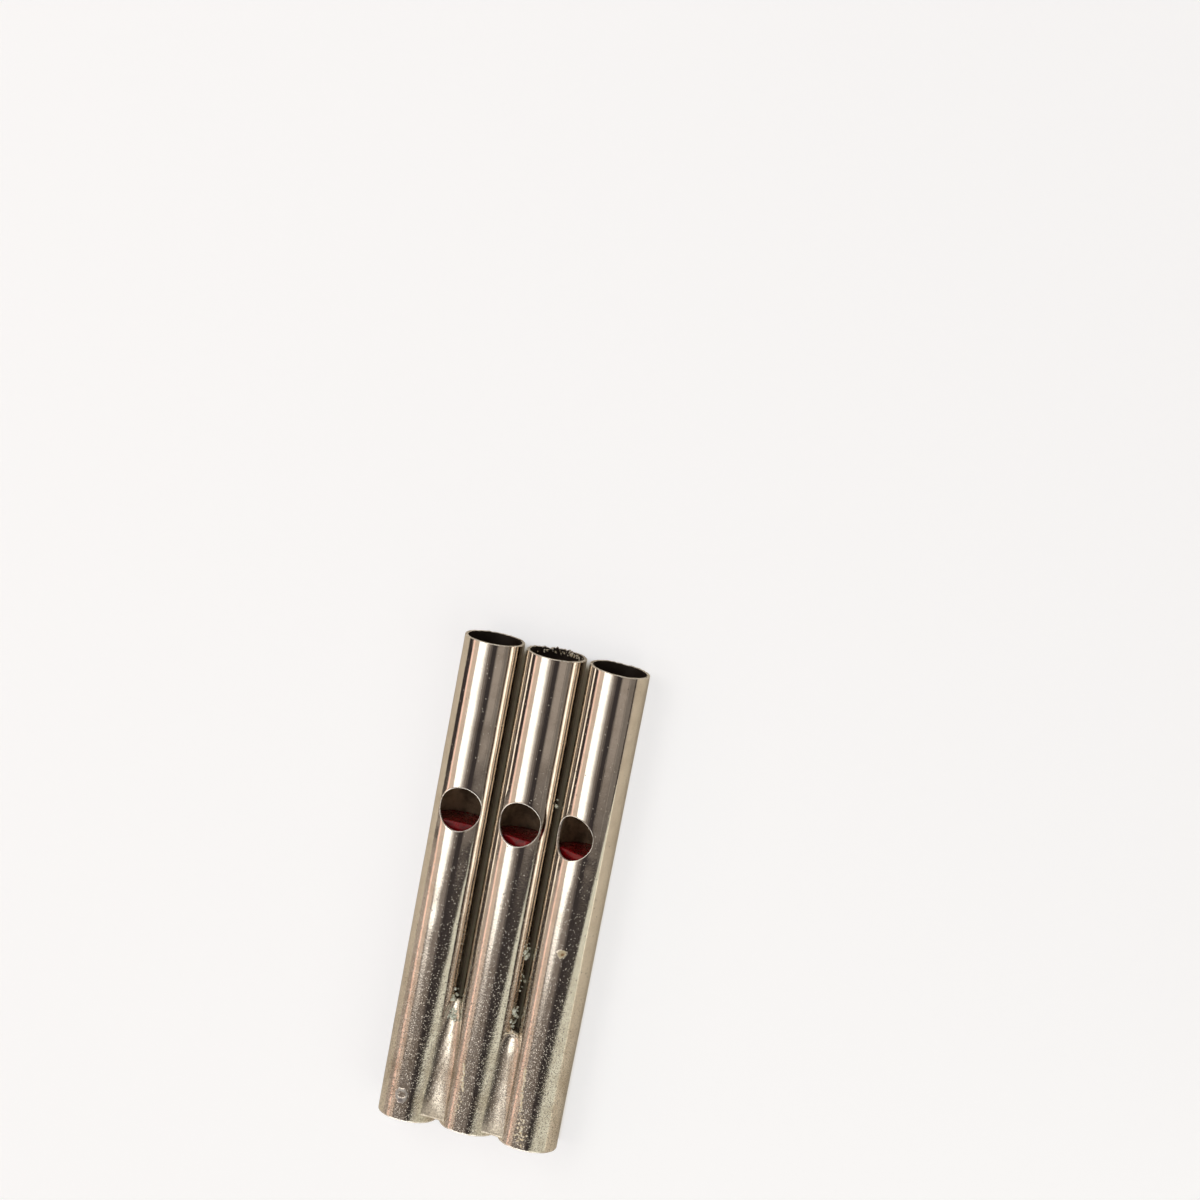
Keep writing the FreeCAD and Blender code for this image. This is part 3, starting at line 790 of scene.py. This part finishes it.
def grain_paint(name, one, other, metal):
    """Crumbs and chalky residue: two colours mixed by a fine noise, rough, more or less metallic."""
    material, n, shader = new_material(name)
    cloud = n.noise(n.millimetres(), 6.0, 3.0)
    tint = n.mix(n.ramp(cloud, 0.35, 0.65), (*one, 1), (*other, 1))
    finish_shader(n, shader, tint, n.ramp(cloud, 0.3, 0.7, 0.3, 0.55), n.times(cloud, 0.3), metal)
    return material


def floor_paint():
    """Pale floor, faintly mottled, that glows like a light table: painted light. Two masks rise beyond the
    area
    under the whistle: one for the light that the floor sends out, dimmed under the whistle as painted shade,
    and clear for the camera's even pale look, a grey base under a strong painted glow, while the gaps of the
    whistle show a dim warm painted light."""
    material, n, shader = new_material("Pale floor")
    place = n.add("TexCoord").outputs["Object"]
    axes = n.add("SeparateXYZ", {0: place}).outputs
    outside = n.math("MAXIMUM", *(n.minus(n.math("ABSOLUTE", axis), half)
                                  for axis, half in zip(axes, UNDER_WHISTLE)))
    # Painted shade: the first mask dims the floor's painted glow under the whistle; the second brings in the
    # camera's even painted glow beyond it.
    glow_with_painted_shade, clear = n.ramp(outside, 0.0, 0.012, 0.2, 1.0), n.ramp(outside, -0.001, 0.0006, 0.0, 1.0)
    pale = tuple(bpy.context.scene.whistle_finish.floor)
    mottled = tuple(c * 0.97 for c in pale)
    tint = n.mix(n.ramp(n.noise(place, 30.0, 3.0), 0.3, 0.7), (*pale, 1), (*mottled, 1))
    # Painted light: the camera sees a strong even glow beyond the whistle and a dim warm glow in the gaps
    # between the tubes.
    seen = n.add("LightPath").outputs["Is Camera Ray"]
    seen_glow = n.times(seen, n.plus(n.times(clear, 0.82), 0.08))
    glow_colour = n.mix(seen, tint, n.mix(clear, GAP_PAINTED_LIGHT, FLOOR_GLOW))
    n.put(shader.inputs["Base Color"], n.mix(n.times(seen, clear), tint, FLOOR_GREY))
    n.put(shader.inputs["Emission Color"], glow_colour)
    n.put(shader.inputs["Emission Strength"], n.math("MAXIMUM", n.times(glow_with_painted_shade, 0.09), seen_glow))
    shader.inputs["Roughness"].default_value = 0.8
    return material


# Studio. Lengths in metres.

FLOOR_HALF = 1.5

# Soft boxes that the tubes mirror as bands of light: name, from and to what angle in degrees, from and to
# where along Y, radiance and tint.
KEY_TINT, WIDE_KEY_TINT, FILL_TINT = (1, 0.98, 0.93), (1, 0.87, 0.76), (1.0, 0.88, 0.76)
SOFT_BOXES = (
    ("key 1", -36, -20, -0.129, 0.35, 0.70, KEY_TINT),
    ("key 2", -40, -13, -0.118, 0.35, 0.70, KEY_TINT),
    ("key 3", -42, -8, -0.112, 0.35, 0.45, KEY_TINT),
    ("key 4", -42, -2, -0.110, 0.35, 0.32, KEY_TINT),
    ("key 5", -43, 6, -0.300, 0.35, 0.12, WIDE_KEY_TINT),
    ("key 6", -43, 13, -0.300, 0.35, 0.07, WIDE_KEY_TINT),
    ("left strip", -67.5, -59, -0.35, 0.35, 1.15, (1.0, 0.70, 0.58)),
    ("left fill", -59, -43, -0.35, 0.35, 0.66, (1.0, 0.80, 0.65)),
    ("left low card", -90, -68, -0.45, -0.10, 0.42, (1.0, 0.86, 0.72)),
    ("right fill", 29, 64, -0.105, 0.35, 0.16, FILL_TINT),
    ("right fill core", 33, 59, -0.085, 0.35, 0.17, FILL_TINT),
    ("right low fill", 62, 84, -0.10, 0.35, 0.17, (1.0, 0.90, 0.78)),
)
SOFT_BOX_DISTANCE = 0.40

# Cards beyond the ends and washes for the floor: name, width, height, radiance, tint, place, turn in degrees
# about an axis, and the kind of light that they don't give.
WASH_TINT, CARD_TINT = (1.0, 0.94, 0.85), (1.0, 0.98, 0.95)
CARDS = (
    ("front card", 0.5, 0.24, 2.8, CARD_TINT, (-0.06, -0.32, 0.13), "X", 75, "visible_diffuse"),
    ("back card", 0.5, 0.24, 1.4, CARD_TINT, (-0.05, 0.45, 0.17), "X", -72, "visible_diffuse"),
    ("floor wash", 1.6, 1.6, 0.10, WASH_TINT, (0, 0, 1.6), "X", 0, "visible_glossy"),
    ("right wash", 0.6, 0.6, 1.6, WASH_TINT, (0.55, -0.15, 0.55), "Y", 45, "visible_glossy"),
)

# The right card faces the row from the right: the middle of one edge, its sizes, its turn about X and tint.
RIGHT_CARD_EDGE, RIGHT_CARD_WIDTH, RIGHT_CARD_LENGTH = (0.100, -0.049, 0.079), 0.26, 0.34
RIGHT_CARD_TURN, RIGHT_CARD_TINT = math.atan2(138, -70), (0.99, 1.0, 0.84)

ROOM_COLOUR = (0.048, 0.041, 0.041, 1)

# The camera's place and axes, solved from the tubes' outlines in the photograph.
CAMERA_PLACE, CAMERA_LENS = (0.100993, 0.110031, 0.377247), 121.54
CAMERA_RIGHT = (0.94100, 0.18322, -0.28452)
CAMERA_UP = (-0.23060, 0.96251, -0.14284)
CAMERA_AHEAD = (-0.24768, -0.20002, -0.94797)


def add_floor(scene):
    """A square floor round the origin."""
    half = FLOOR_HALF
    mesh = bpy.data.meshes.new("floor")
    mesh.from_pydata([(-half, -half, 0), (half, -half, 0), (half, half, 0), (-half, half, 0)], [],
                     [(0, 1, 2, 3)])
    mesh.materials.append(floor_paint())
    floor = bpy.data.objects.new("floor", mesh)
    scene.collection.objects.link(floor)


def area_light(name, size, size_y, radiance, tint, matrix):
    """A rectangular light that the camera doesn't see; its power is its radiance times its area times pi."""
    lamp = bpy.data.lights.new(name, "AREA")
    lamp.shape = "RECTANGLE"
    lamp.size, lamp.size_y = size, size_y
    lamp.energy = radiance * size * size_y * math.pi
    lamp.color = tint
    light = bpy.data.objects.new(name, lamp)
    light.matrix_world = matrix
    light.visible_camera = False
    bpy.context.scene.collection.objects.link(light)
    return light


def soft_box(name, start, end, low, high, radiance, tint):
    """A long soft box over the row, facing it, as wide as the angles from start to end (from straight up
    towards +X, as the whistle sees it), from low to high along Y."""
    distance = SOFT_BOX_DISTANCE
    middle, half = math.radians((start + end) / 2), math.radians((end - start) / 2)
    place = (distance * math.sin(middle), (low + high) / 2, distance * math.cos(middle))
    matrix = Matrix.Translation(place) @ Matrix.Rotation(middle, 4, "Y")
    area_light(name, 2 * distance * math.tan(half), high - low, radiance, tint, matrix)


def add_lights():
    for box in SOFT_BOXES:
        soft_box(*box)
    size = RIGHT_CARD_WIDTH
    face = Matrix.Translation((0, 0, size / 2)) @ Matrix.Rotation(math.radians(90), 4, "Y")
    card = Matrix.Translation(RIGHT_CARD_EDGE) @ Matrix.Rotation(RIGHT_CARD_TURN, 4, "X") @ face
    area_light("right card", size, RIGHT_CARD_LENGTH, 0.74, RIGHT_CARD_TINT, card)
    for name, width, height, radiance, tint, place, axis, degrees, unseen in CARDS:
        matrix = Matrix.Translation(place) @ Matrix.Rotation(math.radians(degrees), 4, axis)
        setattr(area_light(name, width, height, radiance, tint, matrix), unseen, False)


def add_room(scene):
    """The dim room round the stage."""
    world = bpy.data.worlds.new("Studio")
    world.use_nodes = True
    background = world.node_tree.nodes["Background"]
    background.inputs["Color"].default_value = ROOM_COLOUR
    background.inputs["Strength"].default_value = 1.0
    scene.world = world
    scene.view_settings.view_transform = "Standard"


def add_camera(scene):
    """The camera at the photograph's viewing angle."""
    camera_data = bpy.data.cameras.new("camera")
    camera_data.sensor_width = 36
    camera_data.lens = CAMERA_LENS
    camera_data.clip_start, camera_data.clip_end = 0.01, 10
    camera = bpy.data.objects.new("camera", camera_data)
    back = tuple(-c for c in CAMERA_AHEAD)
    turn = Matrix((CAMERA_RIGHT, CAMERA_UP, back)).transposed().to_4x4()
    camera.matrix_world = Matrix.Translation(CAMERA_PLACE) @ turn
    scene.collection.objects.link(camera)
    scene.camera = camera


# Operators


class WHISTLE_OT_tubes(bpy.types.Operator):
    """Builds the three plated tubes with their windows"""
    bl_idname = "whistle.tubes"
    bl_label = "Tubes"

    def execute(self, context):
        s, finish = sizes(), context.scene.whistle_finish
        plating_group()
        solder_film_group()
        drop_group()
        grooves = {"left": (groove_middle("left"), MOUTH + 12.7, "Film"),
                   "middle": (groove_middle("right"), MOUTH + 11.1, "Film"), "right": None}
        bore, edge = dull_bore(), cut_edge()
        for name in TUBES:
            drops = [(kind, tuple(on_tube(name, angle, y)), radius, width, shade)
                     for kind, angle, y, radius, width, shade in DROPS[name]]
            plate = plated(f"Nickel {name}", finish.nickel, finish.brown, 0.55, 0.075, 0.07, drops,
                           grooves[name])
            points, faces, kinds = tube_wall(name, s)
            make_piece(f"plated_tube_{name}", points, faces, [plate, bore, edge], "nickel_plate",
                       [f"tube_{name}"], kinds)
        return {"FINISHED"}


class WHISTLE_OT_blocks(bpy.types.Operator):
    """Builds the red windway blocks"""
    bl_idname = "whistle.blocks"
    bl_label = "Windway blocks"

    def execute(self, context):
        s, red = sizes(), glossy_red()
        for name in TUBES:
            points, faces = block_skin(name, s)
            make_piece(f"windway_block_{name}", points, faces, [red], "red_block", [f"block_{name}"])
        return {"FINISHED"}


class WHISTLE_OT_solder(bpy.types.Operator):
    """Builds the two runs of solder between the tubes"""
    bl_idname = "whistle.solder"
    bl_label = "Solder"

    def execute(self, context):
        s, finish = sizes(), context.scene.whistle_finish
        metal = plated("Plated solder", finish.solder, finish.brown, 0.35, 0.15, 0.17,
                       groove=(0.0, 0.0, "Low"))
        for name in RUNS:
            points, faces = solder_skin(name, s)
            make_piece(f"solder_run_{name}", points, faces, [metal], "solder", [f"solder_{name}"])
        return {"FINISHED"}


class WHISTLE_OT_crumbs(bpy.types.Operator):
    """Adds the flux residue in the grooves and the bright crumbs of plating"""
    bl_idname = "whistle.crumbs"
    bl_label = "Residue and crumbs"

    def execute(self, context):
        chalk = grain_paint("Flux residue", context.scene.whistle_finish.residue, CHALK, 0.0)
        make_piece("flux_residue", *residue_grains(), [chalk], "solder")
        bright = grain_paint("Plating crumbs", CRUMB, CRUMB_WARM, 0.25)
        make_piece("plating_crumbs", *crumb_grains(), [bright], "solder")
        return {"FINISHED"}


class WHISTLE_OT_stage(bpy.types.Operator):
    """Adds the pale floor, the soft studio lights and the camera at the photograph's angle"""
    bl_idname = "whistle.stage"
    bl_label = "Studio"

    def execute(self, context):
        add_floor(context.scene)
        add_lights()
        add_room(context.scene)
        add_camera(context.scene)
        return {"FINISHED"}


class WHISTLE_PT_panel(bpy.types.Panel):
    bl_label = "Bird whistle"
    bl_idname = "WHISTLE_PT_panel"
    bl_space_type = "VIEW_3D"
    bl_region_type = "UI"
    bl_category = "Whistle"

    def draw(self, context):
        for group in (context.scene.whistle_sizes, context.scene.whistle_finish):
            for name in group.bl_rna.properties.keys():
                if name not in ("rna_type", "name"):
                    self.layout.prop(group, name)
        for operator in OPERATORS:
            self.layout.operator(operator.bl_idname)


OPERATORS = (WHISTLE_OT_tubes, WHISTLE_OT_blocks, WHISTLE_OT_solder, WHISTLE_OT_crumbs, WHISTLE_OT_stage)
CLASSES = (WhistleSizes, WhistleFinish, *OPERATORS, WHISTLE_PT_panel)


def register():
    for cls in CLASSES:
        bpy.utils.register_class(cls)
    bpy.types.Scene.whistle_sizes = PointerProperty(type=WhistleSizes)
    bpy.types.Scene.whistle_finish = PointerProperty(type=WhistleFinish)


def unregister():
    del bpy.types.Scene.whistle_finish
    del bpy.types.Scene.whistle_sizes
    for cls in reversed(CLASSES):
        bpy.utils.unregister_class(cls)


def main():
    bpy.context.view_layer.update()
    register()
    bpy.ops.whistle.tubes()
    bpy.ops.whistle.blocks()
    bpy.ops.whistle.solder()
    bpy.ops.whistle.crumbs()
    bpy.ops.whistle.stage()
    bpy.context.view_layer.update()


if __name__ == "__main__":
    main()
